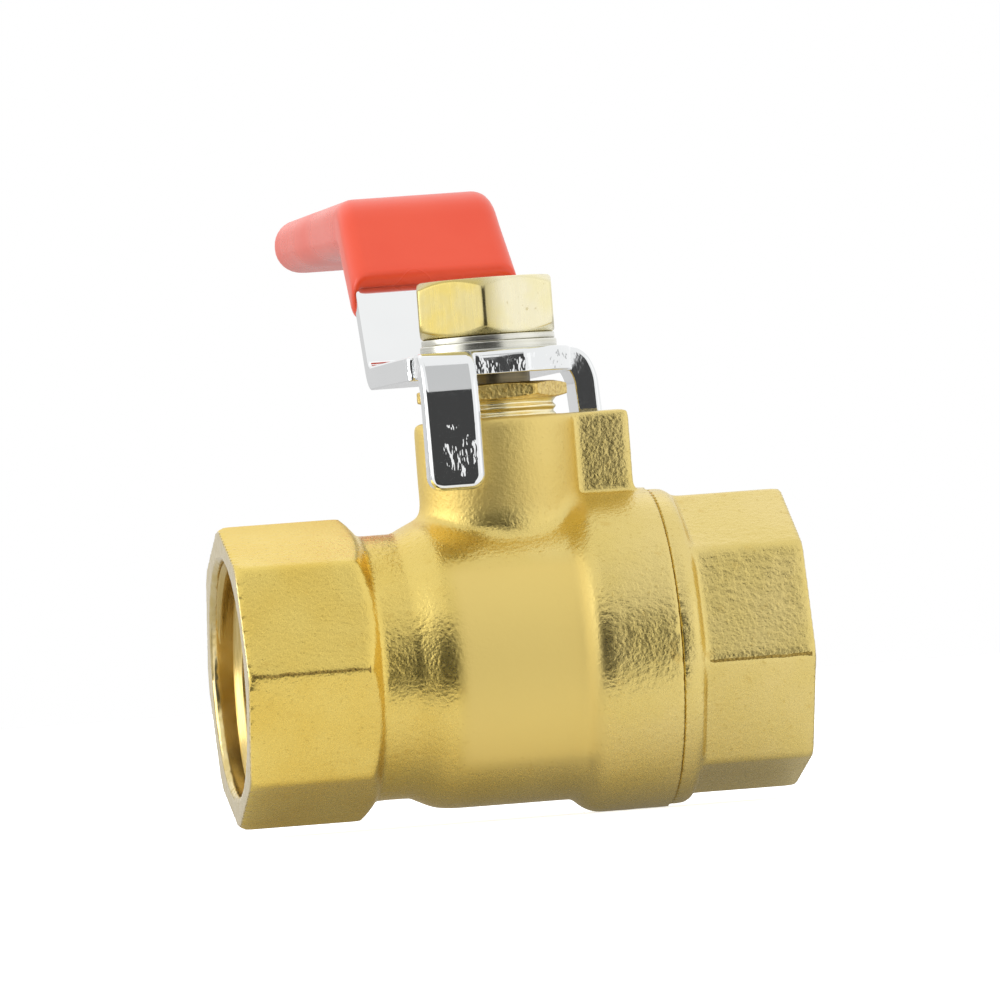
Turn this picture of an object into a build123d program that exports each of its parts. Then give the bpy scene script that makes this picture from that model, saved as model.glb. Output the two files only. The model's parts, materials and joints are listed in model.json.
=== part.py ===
from build123d import *
import math
import os

# A DN15 (G1/2) two-piece brass ball valve with a plated steel lever.
# Frame: origin at the centre of the inlet end face, +X along the pipe towards the outlet,
# +Z up the stem. The valve is shut: the lever lies along +Y, across the pipe.
# Lengths are millimetres. Axial places along the pipe are measured from the stem's axis.

# ---- overall
STEM_X = 25.6            # inlet face to stem axis
CAP_END = 25.1           # stem axis to outlet face
OCT_FLATS = 25.0         # octagon across flats, both ends
END_BEVEL = 0.35
CAP_TURN = 7.0           # degrees that the tightened cap stopped away from the body's octagon

# ---- pipe thread G1/2, modelled as a plain bore at its major radius
THREAD_R = 10.4775
THREAD_DEPTH = 11.0
THREAD_MOUTH_R = 10.75
DRILL_CONE = 2.4         # length of the cone that the tap drill leaves
WATERWAY_R = 6.4
WATERWAY_END = 6.0       # from the stem axis, inside the ball's cavity

# ---- body, axial stations from the stem axis
OCT_END = -14.6
NECK_START = -13.4
NECK_END = -10.1
NECK_R = 11.8
BARREL_START = -7.8
BARREL_END = 4.5
BARREL_R = 13.0
RING_START = 5.9
SEAM = 13.0              # where the end cap meets the body
RING_R = 14.3
NECK_HOLLOW, BARREL_SHOULDER = 0.4, 2.5    # radii where the outline turns
BARREL_HOLLOW, RING_SHOULDER, RING_EDGE = 0.9, 2.0, 0.15
CAVITY_R = 10.85
CAVITY_START = -8.5
CAVITY_END = 8.0
CAP_THREAD_R = 12.3
CAP_THREAD_BEVEL = 0.2

# ---- boss, stop lug and stuffing box
BOSS_R = 7.2
BOSS_TOP = 21.4
BOSS_BEVEL = 0.3
LUG_REACH = 11.8
LUG_HALF = 2.6
LUG_BOTTOM = 14.15
LUG_GROOVE = 0.45        # how far the lug's web stands back from its head
WEB_BOTTOM = 13.15       # inside the ring, which the web runs down to
STEM_R = 3.5
STUFFING_R = 5.6
STUFFING_FLOOR = 14.0
COUNTERBORE_R = 5.1
COUNTERBORE_TOP = 12.3

# ---- end cap
FLANGE_R = 14.1
FLANGE_END = 15.1
FLANGE_EDGE, FLANGE_SHOULDER = 0.1, 1.0
CAP_THREAD_SHORTER = 0.5
SHANK_START = 8.5

# ---- ball, seats and stem
BALL_R = 10.25
BALL_BORE_R = 6.25
SEAT_GAP = 0.05
SEAT_R = 10.8
SEAT_INNER_X = 5.0
SLOT_WIDTH = 4.0
SLOT_FLOOR = 8.0
RUNNING_GAP = 0.06
COLLAR_R = 4.9
COLLAR_BOTTOM = 10.6
COLLAR_TOP = 11.7
TANG_LENGTH = 8.0
TANG_PLAY = 0.2
STEM_TOP = 33.4
STEM_BEVEL = 0.5
STEM_FLATS = 5.0
SOFT_RING_GAP = 0.08     # between the stem and the soft rings round it
PACKING_GAP = 0.02

# ---- gland nut
GLAND_FLATS = 11.8
GLAND_BOTTOM = 18.0
GLAND_HEX_BOTTOM = 22.9
GLAND_TOP = 24.4
GLAND_TURN = -3.0
GLAND_HEX_BEVEL = 0.25
GLAND_TURNS = 2          # thread turns left showing above the boss
GLAND_GROOVE = 0.25
GLAND_GAP = 0.1

# ---- lever
PLATE = 2.2              # sheet thickness
PLATE_BOTTOM = 25.2
HEAD_R = 7.3
HEAD_CORNER = 2.3        # where the straight front edge ends
HEAD_SLANT = (2.0, 1.5)  # and how the outline leaves it for the round head
ARM_HALF = 7.5
ARM_FLAT_END = 24.0
RISER_END = 38.0
RISE = 14.6
ARM_BEND = 4.0
GRIP_HALF = 6.5
REACH = 85.5
TAB_OUT = 10.25          # outer face of both bent-down tabs
TAB_BOTTOM = 15.1
TAB_BEND = 2.2           # bend radius at mid-thickness
FRONT_TAB = (-7.7, -2.65)
SIDE_TAB = (2.66, 8.0)
TAB_CORNER = 1.2
NOTCH_SIDE, NOTCH_START = -6.5, -0.5       # bend relief between the arm's left side and the front tab

# ---- vinyl sleeve
SLEEVE_SKIN = 1.4        # over and under the steel
SLEEVE_SIDE = 0.8        # beside the steel
SLEEVE_START_Z = 34.5
SLEEVE_END_SKIN = 1.6

# ---- washers and handle nut
WASHER_R, LOCK_WASHER_R = 6.1, 6.0
WASHER_GAP = 0.2
FLAT_WASHER = 0.75
LOCK_WASHER = 0.6
LOCK_SPLIT, LOCK_SPLIT_SLANT, LOCK_SPLIT_AT = 0.7, 35.0, 100.0
NUT_FLATS = 12.0
NUT_HEIGHT = 5.1
NUT_TURN = 20.6

# ---- both hexagons
HEX_ROUND = 0.3
HEX_BEVEL = 0.75
HEX_BEVEL_LAP = 0.15     # how far the end bevels reach inside the flats

OCT_CORNER_R = OCT_FLATS / 2 / math.cos(math.pi / 8)
PLATE_TOP = PLATE_BOTTOM + PLATE
PLATE_MID = PLATE_BOTTOM + PLATE / 2


def turned_x(points):
    """A solid turned about the pipe axis from (axial, radius) points."""
    outline = Polyline(*[(x, r, 0) for x, r in points], close=True)
    return revolve(make_face(outline), Axis.X)


def turned_z(points):
    """A solid turned about the stem axis from (radius, height) points."""
    outline = Polyline(*[(r, 0, z) for r, z in points], close=True)
    return revolve(make_face(outline), Axis.Z)


def ring_z(inner_r, outer_r, bottom, top):
    return turned_z([(inner_r, bottom), (outer_r, bottom), (outer_r, top), (inner_r, top)])


def octagon(start, end):
    """An eight-sided bar along the pipe, with corners straight up and straight to the front."""
    section = RegularPolygon(OCT_CORNER_R, 8)
    return extrude(Plane(origin=(start, 0, 0), z_dir=(1, 0, 0)) * section, end - start)


def hexagon(flats, bottom, top, turn, bevel):
    """A hexagon bar up the stem axis, its long edges rounded and its corners bevelled at both ends."""
    corner_r = flats / math.sqrt(3)
    bar = Pos(0, 0, bottom) * extrude(Rot(0, 0, turn) * RegularPolygon(corner_r, 6), top - bottom)
    bar = fillet(bar.edges().filter_by(Axis.Z), HEX_ROUND)
    inner_r = flats / 2 - HEX_BEVEL_LAP
    cone = turned_z([
        (0, bottom), (inner_r, bottom), (corner_r + 0.01, bottom + bevel),
        (corner_r + 0.01, top - bevel), (inner_r, top), (0, top),
    ])
    return bar & cone


def pipe_bore(face, inward, depth):
    """The waterway from an end face: mouth bevel, thread bore, drill cone and narrow bore."""
    bevel = THREAD_MOUTH_R - THREAD_R
    cone_end = face + inward * (depth + DRILL_CONE)
    inner_end = -inward * WATERWAY_END
    return turned_x([
        (face - inward * bevel, 0), (face - inward * bevel, THREAD_MOUTH_R + bevel),
        (face + inward * bevel, THREAD_R), (face + inward * depth, THREAD_R),
        (cone_end, WATERWAY_R), (inner_end, WATERWAY_R), (inner_end, 0),
    ])


def make_lug():
    """The stop lug: a head proud of the web that joins it to the boss and the ring below."""
    start = BOSS_R - LUG_GROOVE
    head_size = (LUG_REACH - start, 2 * LUG_HALF, BOSS_TOP - LUG_BOTTOM)
    head = Pos(start + head_size[0] / 2, 0, LUG_BOTTOM + head_size[2] / 2) * Box(*head_size)
    web_size = (LUG_REACH - LUG_GROOVE, 2 * (LUG_HALF - LUG_GROOVE), BOSS_TOP - LUG_GROOVE - WEB_BOTTOM)
    return head + Pos(web_size[0] / 2, 0, WEB_BOTTOM + web_size[2] / 2) * Box(*web_size)


def make_body():
    envelope = turned_x([
        (-STEM_X, 0), (-STEM_X, OCT_CORNER_R - END_BEVEL), (-STEM_X + END_BEVEL, OCT_CORNER_R),
        (OCT_END, OCT_CORNER_R), (NECK_START, NECK_R), (NECK_START, 0),
    ])
    outline = FilletPolyline(
        (OCT_END, NECK_R), (NECK_END, NECK_R), (BARREL_START, BARREL_R), (BARREL_END, BARREL_R),
        (RING_START, RING_R), (SEAM, RING_R), (SEAM, BARREL_R),
        radius=[NECK_HOLLOW, BARREL_SHOULDER, BARREL_HOLLOW, RING_SHOULDER, RING_EDGE],
    )
    closing = Polyline((SEAM, BARREL_R), (SEAM, 0), (OCT_END, 0), (OCT_END, NECK_R))
    barrel = revolve(make_face(outline + closing), Axis.X)
    boss = turned_z([
        (0, 0), (BOSS_R, 0), (BOSS_R, BOSS_TOP - BOSS_BEVEL), (BOSS_R - BOSS_BEVEL, BOSS_TOP), (0, BOSS_TOP),
    ])
    body = barrel + boss + make_lug() + (octagon(-STEM_X, NECK_START) & envelope)
    cavity = turned_x([
        (CAVITY_START, 0), (CAVITY_START, CAVITY_R), (CAVITY_END, CAVITY_R),
        (CAVITY_END, CAP_THREAD_R), (SEAM - CAP_THREAD_BEVEL, CAP_THREAD_R),
        (SEAM, CAP_THREAD_R + CAP_THREAD_BEVEL), (SEAM, 0),
    ])
    stem_bore = turned_z([
        (0, 0), (COUNTERBORE_R, 0), (COUNTERBORE_R, COUNTERBORE_TOP),
        (STEM_R + RUNNING_GAP, COUNTERBORE_TOP), (STEM_R + RUNNING_GAP, STUFFING_FLOOR),
        (STUFFING_R, STUFFING_FLOOR), (STUFFING_R, BOSS_TOP), (0, BOSS_TOP),
    ])
    return body - cavity - stem_bore - pipe_bore(-STEM_X, 1, THREAD_DEPTH)


def make_cap():
    outline = FilletPolyline(
        (SEAM, NECK_R), (SEAM, FLANGE_R), (FLANGE_END, FLANGE_R), (FLANGE_END, NECK_R),
        radius=[FLANGE_EDGE, FLANGE_SHOULDER],
    )
    closing = Polyline((FLANGE_END, NECK_R), (FLANGE_END, 0), (SEAM, 0), (SEAM, NECK_R))
    flange = revolve(make_face(outline + closing), Axis.X)
    shank = turned_x([(SHANK_START, 0), (SHANK_START, CAP_THREAD_R), (SEAM, CAP_THREAD_R), (SEAM, 0)])
    start = SEAM + FLANGE_SHOULDER
    envelope = turned_x([
        (start, 0), (start, OCT_CORNER_R), (CAP_END - END_BEVEL, OCT_CORNER_R),
        (CAP_END, OCT_CORNER_R - END_BEVEL), (CAP_END, 0),
    ])
    end = Rot(CAP_TURN, 0, 0) * (octagon(start, CAP_END) & envelope)
    return flange + shank + end - pipe_bore(CAP_END, -1, THREAD_DEPTH - CAP_THREAD_SHORTER)


def make_ball():
    ball = Sphere(BALL_R) - Rot(90, 0, 0) * Cylinder(BALL_BORE_R, 4 * BALL_R)
    slot = Pos(0, 0, SLOT_FLOOR + BALL_R / 2) * Box(2 * BALL_R, SLOT_WIDTH, BALL_R)
    return ball - slot


def make_seat():
    """The soft ring between the ball and the inlet shoulder."""
    ring = turned_x([
        (-SEAT_INNER_X, WATERWAY_R), (-SEAT_INNER_X, SEAT_R),
        (-SHANK_START, SEAT_R), (-SHANK_START, WATERWAY_R),
    ])
    return ring - Sphere(BALL_R + SEAT_GAP)


def make_stem():
    shaft = turned_z([
        (0, COLLAR_BOTTOM), (COLLAR_R, COLLAR_BOTTOM), (COLLAR_R, COLLAR_TOP), (STEM_R, COLLAR_TOP),
        (STEM_R, STEM_TOP - STEM_BEVEL), (STEM_R - STEM_BEVEL, STEM_TOP), (0, STEM_TOP),
    ])
    tang_height = COLLAR_BOTTOM - SLOT_FLOOR - TANG_PLAY
    tang = Pos(0, 0, COLLAR_BOTTOM - tang_height / 2) * Box(TANG_LENGTH, SLOT_WIDTH - TANG_PLAY, tang_height)
    return shaft + tang - stem_flats(0.0)


def stem_flats(gap):
    """The two blocks that leave the stem's upper end with flats on its left and right."""
    height = STEM_TOP - PLATE_BOTTOM + 1
    offset = STEM_FLATS / 2 + gap + STEM_R / 2
    block = Box(STEM_R, 4 * STEM_R, height)
    middle = PLATE_BOTTOM + height / 2
    return Pos(offset, 0, middle) * block + Pos(-offset, 0, middle) * block


def make_gland_nut():
    """The packing nut: a threaded shank in the boss under a low hexagon."""
    bore_r = STEM_R + GLAND_GAP
    pitch = (GLAND_HEX_BOTTOM - BOSS_TOP) / GLAND_TURNS
    outline = [(bore_r, GLAND_BOTTOM), (STUFFING_R, GLAND_BOTTOM)]
    for turn in range(GLAND_TURNS):
        low = BOSS_TOP + turn * pitch
        outline += [(STUFFING_R, low), (STUFFING_R - GLAND_GROOVE, low + pitch / 2)]
    outline += [(STUFFING_R, GLAND_HEX_BOTTOM), (STUFFING_R, GLAND_TOP), (bore_r, GLAND_TOP)]
    head = hexagon(GLAND_FLATS, GLAND_HEX_BOTTOM, GLAND_TOP, GLAND_TURN, GLAND_HEX_BEVEL)
    return turned_z(outline) + (head - Pos(0, 0, GLAND_TOP) * Cylinder(bore_r, 4 * PLATE))


def lever_path(start_y, end_y):
    """The line at mid-thickness along the arm, up the riser and out along the grip."""
    return FilletPolyline(
        (0, start_y, PLATE_MID), (0, ARM_FLAT_END, PLATE_MID),
        (0, RISER_END, PLATE_MID + RISE), (0, end_y, PLATE_MID + RISE),
        radius=ARM_BEND,
    )


def lever_outline(margin, end_skin):
    """The arm seen from above, widened by margin and lengthened by end_skin."""
    arm = ARM_HALF + margin
    grip = GRIP_HALF + margin
    tip = REACH + end_skin - grip
    face = make_face(Polyline(
        (-arm, -HEAD_R), (HEAD_CORNER, -HEAD_R),
        (HEAD_CORNER + HEAD_SLANT[0], HEAD_SLANT[1] - HEAD_R), (arm, SIDE_TAB[0]),
        (arm, ARM_FLAT_END), (grip, RISER_END), (grip, tip), (-grip, tip),
        (-grip, RISER_END), (-arm, ARM_FLAT_END), close=True,
    ))
    return face + Circle(HEAD_R) + Pos(0, tip) * Circle(grip)


def bent_tab(low, high, turn):
    """A tab that leaves the plate along -Y and bends straight down, low to high along X."""
    width = high - low
    middle = (low + high) / 2
    out = TAB_OUT - PLATE / 2
    path = FilletPolyline(
        (middle, 2 - HEAD_R, PLATE_MID), (middle, -out, PLATE_MID), (middle, -out, TAB_BOTTOM),
        radius=TAB_BEND,
    )
    section = Plane(origin=(middle, 2 - HEAD_R, PLATE_MID), x_dir=(1, 0, 0), z_dir=(0, -1, 0))
    strip = sweep(sections=section * Rectangle(width, PLATE), path=path)
    feet = strip.edges().filter_by(Axis.Y).group_by(Axis.Z)[0]
    return Rot(0, 0, turn) * fillet(feet, TAB_CORNER)


def make_lever():
    start = -HEAD_R - 1
    section = Plane(origin=(0, start, PLATE_MID), x_dir=(1, 0, 0), z_dir=(0, 1, 0))
    strip = sweep(sections=section * Rectangle(4 * ARM_HALF, PLATE), path=lever_path(start, REACH + 1))
    prism = Pos(0, 0, PLATE_BOTTOM - 1) * extrude(lever_outline(0.0, 0.0), RISE + 2 * PLATE + 2)
    notch_x = ARM_HALF + NOTCH_SIDE
    notch_y = HEAD_R + NOTCH_START
    notch = Pos(-ARM_HALF, NOTCH_START - notch_y / 2, PLATE_MID) * Box(2 * notch_x, notch_y, 2 * PLATE)
    lever = (strip & prism) - notch
    lever = lever + bent_tab(*FRONT_TAB, 0) + bent_tab(*SIDE_TAB, 90)
    hole = Pos(0, 0, PLATE_MID) * Cylinder(STEM_R + 0.02, 2 * PLATE) - stem_flats(0.02)
    return lever - hole


def make_sleeve(lever):
    """The dipped vinyl grip: a skin around the upper riser and the whole grip."""
    slope = math.atan2(RISE, RISER_END - ARM_FLAT_END)
    start_y = ARM_FLAT_END + (SLEEVE_START_Z - PLATE_TOP) / math.tan(slope)
    thick = PLATE + 2 * SLEEVE_SKIN
    section = Plane(origin=(0, 0, PLATE_MID), x_dir=(1, 0, 0), z_dir=(0, 1, 0))
    skin = sweep(sections=section * Rectangle(4 * ARM_HALF, thick), path=lever_path(0, REACH + 4))
    prism = Pos(0, 0, PLATE_BOTTOM - 4) * extrude(lever_outline(SLEEVE_SIDE, SLEEVE_END_SKIN), RISE + 12)
    keep = Plane(
        origin=(0, start_y, SLEEVE_START_Z), x_dir=(1, 0, 0),
        z_dir=(0, math.cos(slope), math.sin(slope)),
    )
    cover = keep * Pos(0, 0, REACH) * Box(4 * ARM_HALF, 4 * REACH, 2 * REACH)
    return (skin & prism & cover) - lever


def make_lock_washer():
    """A spring washer with its split towards the back."""
    bottom = PLATE_TOP + FLAT_WASHER
    ring = ring_z(STEM_R + WASHER_GAP, LOCK_WASHER_R, bottom, bottom + LOCK_WASHER)
    cutter = Pos(WASHER_R, 0, bottom) * Rot(LOCK_SPLIT_SLANT, 0, 0) * Box(WASHER_R, LOCK_SPLIT, 4 * LOCK_WASHER)
    return ring - Rot(0, 0, LOCK_SPLIT_AT) * cutter


def make_handle_nut():
    bottom = PLATE_TOP + FLAT_WASHER + LOCK_WASHER
    top = bottom + NUT_HEIGHT
    bar = hexagon(NUT_FLATS, bottom, top, NUT_TURN, HEX_BEVEL)
    return bar - Pos(0, 0, bottom) * Cylinder(STEM_R, 4 * NUT_HEIGHT)


def main():
    lever = make_lever()
    soft_r = STEM_R + SOFT_RING_GAP
    packing = (soft_r, STUFFING_R - PACKING_GAP)
    packing_mid = (STUFFING_FLOOR + GLAND_BOTTOM) / 2
    pieces = {
        "valve_body": make_body(),
        "end_cap": make_cap(),
        "ball": make_ball(),
        "inlet_seat": make_seat(),
        "outlet_seat": Rot(0, 0, 180) * make_seat(),
        "stem": make_stem(),
        "thrust_washer": ring_z(soft_r, COUNTERBORE_R - SEAT_GAP, COLLAR_TOP + SEAT_GAP, COUNTERBORE_TOP),
        "lower_packing_ring": ring_z(*packing, STUFFING_FLOOR, packing_mid),
        "upper_packing_ring": ring_z(*packing, packing_mid, GLAND_BOTTOM),
        "gland_nut": make_gland_nut(),
        "handle_lever": lever,
        "grip_sleeve": make_sleeve(lever),
        "flat_washer": ring_z(STEM_R + WASHER_GAP, WASHER_R, PLATE_TOP, PLATE_TOP + FLAT_WASHER),
        "lock_washer": make_lock_washer(),
        "handle_nut": make_handle_nut(),
    }
    os.makedirs("parts", exist_ok=True)
    for name, shape in pieces.items():
        export_step(Pos(STEM_X, 0, 0) * shape, f"parts/{name}.step")


main()
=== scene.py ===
"""Looks of a brass quarter-turn ball valve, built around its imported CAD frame."""
import json
import math

import bmesh
import bpy
import numpy as np
from mathutils import Matrix, Vector, noise
from mathutils.geometry import tessellate_polygon


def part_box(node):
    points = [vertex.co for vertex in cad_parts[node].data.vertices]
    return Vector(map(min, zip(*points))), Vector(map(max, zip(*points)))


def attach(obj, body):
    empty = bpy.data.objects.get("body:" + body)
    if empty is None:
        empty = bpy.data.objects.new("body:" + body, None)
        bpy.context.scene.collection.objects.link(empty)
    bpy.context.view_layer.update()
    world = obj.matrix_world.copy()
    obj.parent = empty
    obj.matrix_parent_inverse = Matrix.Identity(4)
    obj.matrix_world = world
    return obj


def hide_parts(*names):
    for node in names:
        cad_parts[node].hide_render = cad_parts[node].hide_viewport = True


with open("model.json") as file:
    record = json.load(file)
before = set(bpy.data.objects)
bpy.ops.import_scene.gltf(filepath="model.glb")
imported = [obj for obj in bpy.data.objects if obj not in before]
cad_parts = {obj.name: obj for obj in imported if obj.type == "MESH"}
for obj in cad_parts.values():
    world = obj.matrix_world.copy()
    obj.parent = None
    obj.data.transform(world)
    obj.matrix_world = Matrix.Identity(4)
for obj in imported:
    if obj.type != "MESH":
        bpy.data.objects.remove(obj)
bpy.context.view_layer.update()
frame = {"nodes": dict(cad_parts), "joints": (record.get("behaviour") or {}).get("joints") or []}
scene = bpy.context.scene
MM = 0.001

# ---- places from the frame; piece dimensions below are millimetres from the stem axis
STEM = Vector(frame["joints"][0]["pos_m"])
STEM_X = STEM.x / MM
FLOOR_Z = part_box("valve_body")[0].z
OUTLET_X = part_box("end_cap")[1].x / MM
SEAM_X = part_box("valve_body")[1].x / MM
LEVER_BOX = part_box("handle_lever")
SLEEVE_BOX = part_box("grip_sleeve")

# ---- lever pressing
PLATE = 2.2
PLATE_BOTTOM = 25.2
PLATE_MID = PLATE_BOTTOM + PLATE / 2
HEAD_R = 7.3
HEAD_CORNER = 2.3
ARM_HALF, GRIP_HALF = 7.5, 6.5
ARM_FLAT_END, RISER_END, RISE = 24.0, 38.0, 14.6
SLOPE = math.atan2(RISE, RISER_END - ARM_FLAT_END)
REACH = LEVER_BOX[1].y / MM
ARM_BEND = 4.0
TAB_MID_OUT = -LEVER_BOX[0].y / MM - PLATE / 2
TAB_BOTTOM = LEVER_BOX[0].z / MM
TAB_CORNER = 1.35
FRONT_TAB = (-7.7, -2.65)
SIDE_TAB = (2.66, 8.0)
TAB_ROOT_Y = -5.3
NOTCH_SIDE, NOTCH_START = -6.5, -0.5
TAB_ROUND, ARM_ROUND, BURR_ROUND = 0.75, 0.35, 0.15

# ---- sleeve
SLEEVE_SIDE, SLEEVE_LIP_SIDE = 0.75, 0.45
SLEEVE_SKIN = SLEEVE_BOX[1].z / MM - PLATE_MID - RISE - PLATE / 2
SLEEVE_START_Z = 34.8
SLEEVE_SKEW = 1.3
SLEEVE_LIP = 0.08

# ---- castings, nuts and threads
OCT_CORNER_R = 25.0 / 2 / math.cos(math.pi / 8)
CAP_TURN = 7.0
BOSS_R, BOSS_TOP = 7.2, 21.4
STEM_R = 3.5
GLAND_R, GLAND_FLATS, GLAND_TURN = 5.6, 11.8, -3.0
NUT_FLATS, NUT_TURN = 12.0, 20.6
THREAD_R, THREAD_CREST_R, THREAD_PITCH = 10.4775, 9.40, 1.814
INLET_THREAD, OUTLET_THREAD, THREAD_LEAD_IN = 9.6, 9.1, 0.9
CASTING_VOXEL = 0.25
EDGE_PASSES, WEAR_PASSES, ROOT_PASSES = 2, 10, 36
BODY_FLASH, CAP_FLASH, FLASH_STEP = (0.4, 10.9), (41.1, OUTLET_X - 0.4), 0.06
NUT_CORNER_BLEND, NUT_BEVEL_BLEND = 0.3, 0.25
GLAND_HEX_HEIGHT = 1.5

# ---- where a surface changes, as the start and the end of a smooth step
FORGED_PIPE_R, FORGED_BOSS_R, FORGED_BOSS_Z = (11.3, 11.7), (5.8, 6.2), (12.6, 13.2)
NECK_Z, NECK_X = (11.5, 14.0), (STEM_X + 7.0, STEM_X + 6.0)
LUG_FOOT_Z = (14.2, 14.6)
CAP_FACET_X = (41.4, 41.9)
GLAND_HEX_FOOT = (22.8, 22.95)
TORN_FROM_X = (STEM_X + 6.6, STEM_X + 7.6)

# ---- the plain pad on the barrel's front: its reach and fade along X and Z, and its step along Y
PAD_X, PAD_X_SOFT = (STEM_X - 5.6, STEM_X + 4.6), 1.6
PAD_Z, PAD_Z_SOFT = (-8.2, 7.4), 1.8
PAD_Y = (-6.0, -8.0)

# ---- what the floor shows to reflections, in degrees from -Y towards +X and millimetres from the stem
DARK_AHEAD = (-50, 13)
DARK_FROM = (38, 48)
# where the floor's painted shadow of the valve begins
DIM_FROM = (-12, -3)


# ---------------------------------------------------------------- camera
def make_camera():
    """Level with the pipe, a little from the inlet side, and slightly rolled."""
    azimuth, elevation, roll = math.radians(-9.11), math.radians(0.05), math.radians(-4.355)
    distance, aim_height = 1.0533, 0.0141
    away = Vector((
        math.sin(azimuth) * math.cos(elevation),
        -math.cos(azimuth) * math.cos(elevation),
        math.sin(elevation),
    ))
    cam = bpy.data.objects.new("camera", bpy.data.cameras.new("camera"))
    cam.data.sensor_width = 36.0
    cam.data.lens = 425.4
    cam.data.clip_start, cam.data.clip_end = 0.01, 20.0
    cam.location = STEM + away * distance
    look = (STEM + Vector((0, 0, aim_height)) - cam.location).normalized()
    cam.rotation_mode = "QUATERNION"
    cam.rotation_quaternion = look.to_track_quat("-Z", "Y") @ Matrix.Rotation(roll, 4, "Z").to_quaternion()
    scene.collection.objects.link(cam)
    scene.camera = cam


# ---------------------------------------------------------------- node helpers
class Nodes:
    """A material's node tree with short calls for the nodes used here."""

    def __init__(self, name):
        self.mat = bpy.data.materials.new(name)
        self.mat.use_nodes = True
        self.tree = self.mat.node_tree
        self.tree.nodes.clear()
        self.out = self.add("ShaderNodeOutputMaterial")
        self.shader = self.add("ShaderNodeBsdfPrincipled")
        self.link(self.shader.outputs[0], self.out.inputs["Surface"])
        self.place = self.add("ShaderNodeTexCoord").outputs["Object"]

    def add(self, kind, **settings):
        node = self.tree.nodes.new(kind)
        for key, value in settings.items():
            setattr(node, key, value)
        return node

    def link(self, a, b):
        self.tree.links.new(a, b)

    def put(self, socket, value):
        if hasattr(value, "is_output"):
            self.link(value, socket)
        else:
            socket.default_value = value

    def math(self, operation, a, b=0.0):
        node = self.add("ShaderNodeMath", operation=operation)
        self.put(node.inputs[0], a)
        self.put(node.inputs[1], b)
        return node.outputs[0]

    def times(self, *values):
        product = values[0]
        for value in values[1:]:
            product = self.math("MULTIPLY", product, value)
        return product

    def axes(self):
        """The place in millimetres, one output for each axis."""
        scaled = self.add("ShaderNodeVectorMath", operation="SCALE")
        self.link(self.place, scaled.inputs[0])
        scaled.inputs["Scale"].default_value = 1 / MM
        node = self.add("ShaderNodeSeparateXYZ")
        self.link(scaled.outputs[0], node.inputs[0])
        return node.outputs

    def stretched(self, scale):
        node = self.add("ShaderNodeMapping")
        self.link(self.place, node.inputs["Vector"])
        node.inputs["Scale"].default_value = scale
        return node.outputs[0]

    def noise(self, scale, detail=2.0, roughness=0.5, vector=None):
        node = self.add("ShaderNodeTexNoise")
        self.link(vector or self.place, node.inputs["Vector"])
        node.inputs["Scale"].default_value = scale
        node.inputs["Detail"].default_value = detail
        node.inputs["Roughness"].default_value = roughness
        return node.outputs["Fac"]

    def ramp(self, value, low, high, to_low=0.0, to_high=1.0):
        node = self.add("ShaderNodeMapRange", interpolation_type="SMOOTHSTEP")
        self.put(node.inputs["Value"], value)
        node.inputs["From Min"].default_value = low
        node.inputs["From Max"].default_value = high
        node.inputs["To Min"].default_value = to_low
        node.inputs["To Max"].default_value = to_high
        return node.outputs[0]

    def between(self, value, low, high, soft):
        """1 where value lies between low and high, fading over soft outside them."""
        return self.times(self.ramp(value, low - soft, low), self.ramp(value, high + soft, high))

    def mix(self, factor, a, b):
        node = self.add("ShaderNodeMix", data_type="RGBA")
        self.put(node.inputs[0], factor)
        self.put(node.inputs[6], a)
        self.put(node.inputs[7], b)
        return node.outputs[2]

    def mix_value(self, factor, a, b):
        node = self.add("ShaderNodeMix", data_type="FLOAT")
        self.put(node.inputs[0], factor)
        self.put(node.inputs[2], a)
        self.put(node.inputs[3], b)
        return node.outputs[0]

    def bump(self, height, depth, strength=1.0, before=None):
        node = self.add("ShaderNodeBump")
        self.put(node.inputs["Height"], height)
        node.inputs["Distance"].default_value = depth * MM
        self.put(node.inputs["Strength"], strength)
        if before is not None:
            self.link(before, node.inputs["Normal"])
        return node.outputs[0]

    def set(self, **sockets):
        for name, value in sockets.items():
            self.put(self.shader.inputs[name.replace("_", " ")], value)


def rgb(r, g, b):
    return (r, g, b, 1.0)


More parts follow.
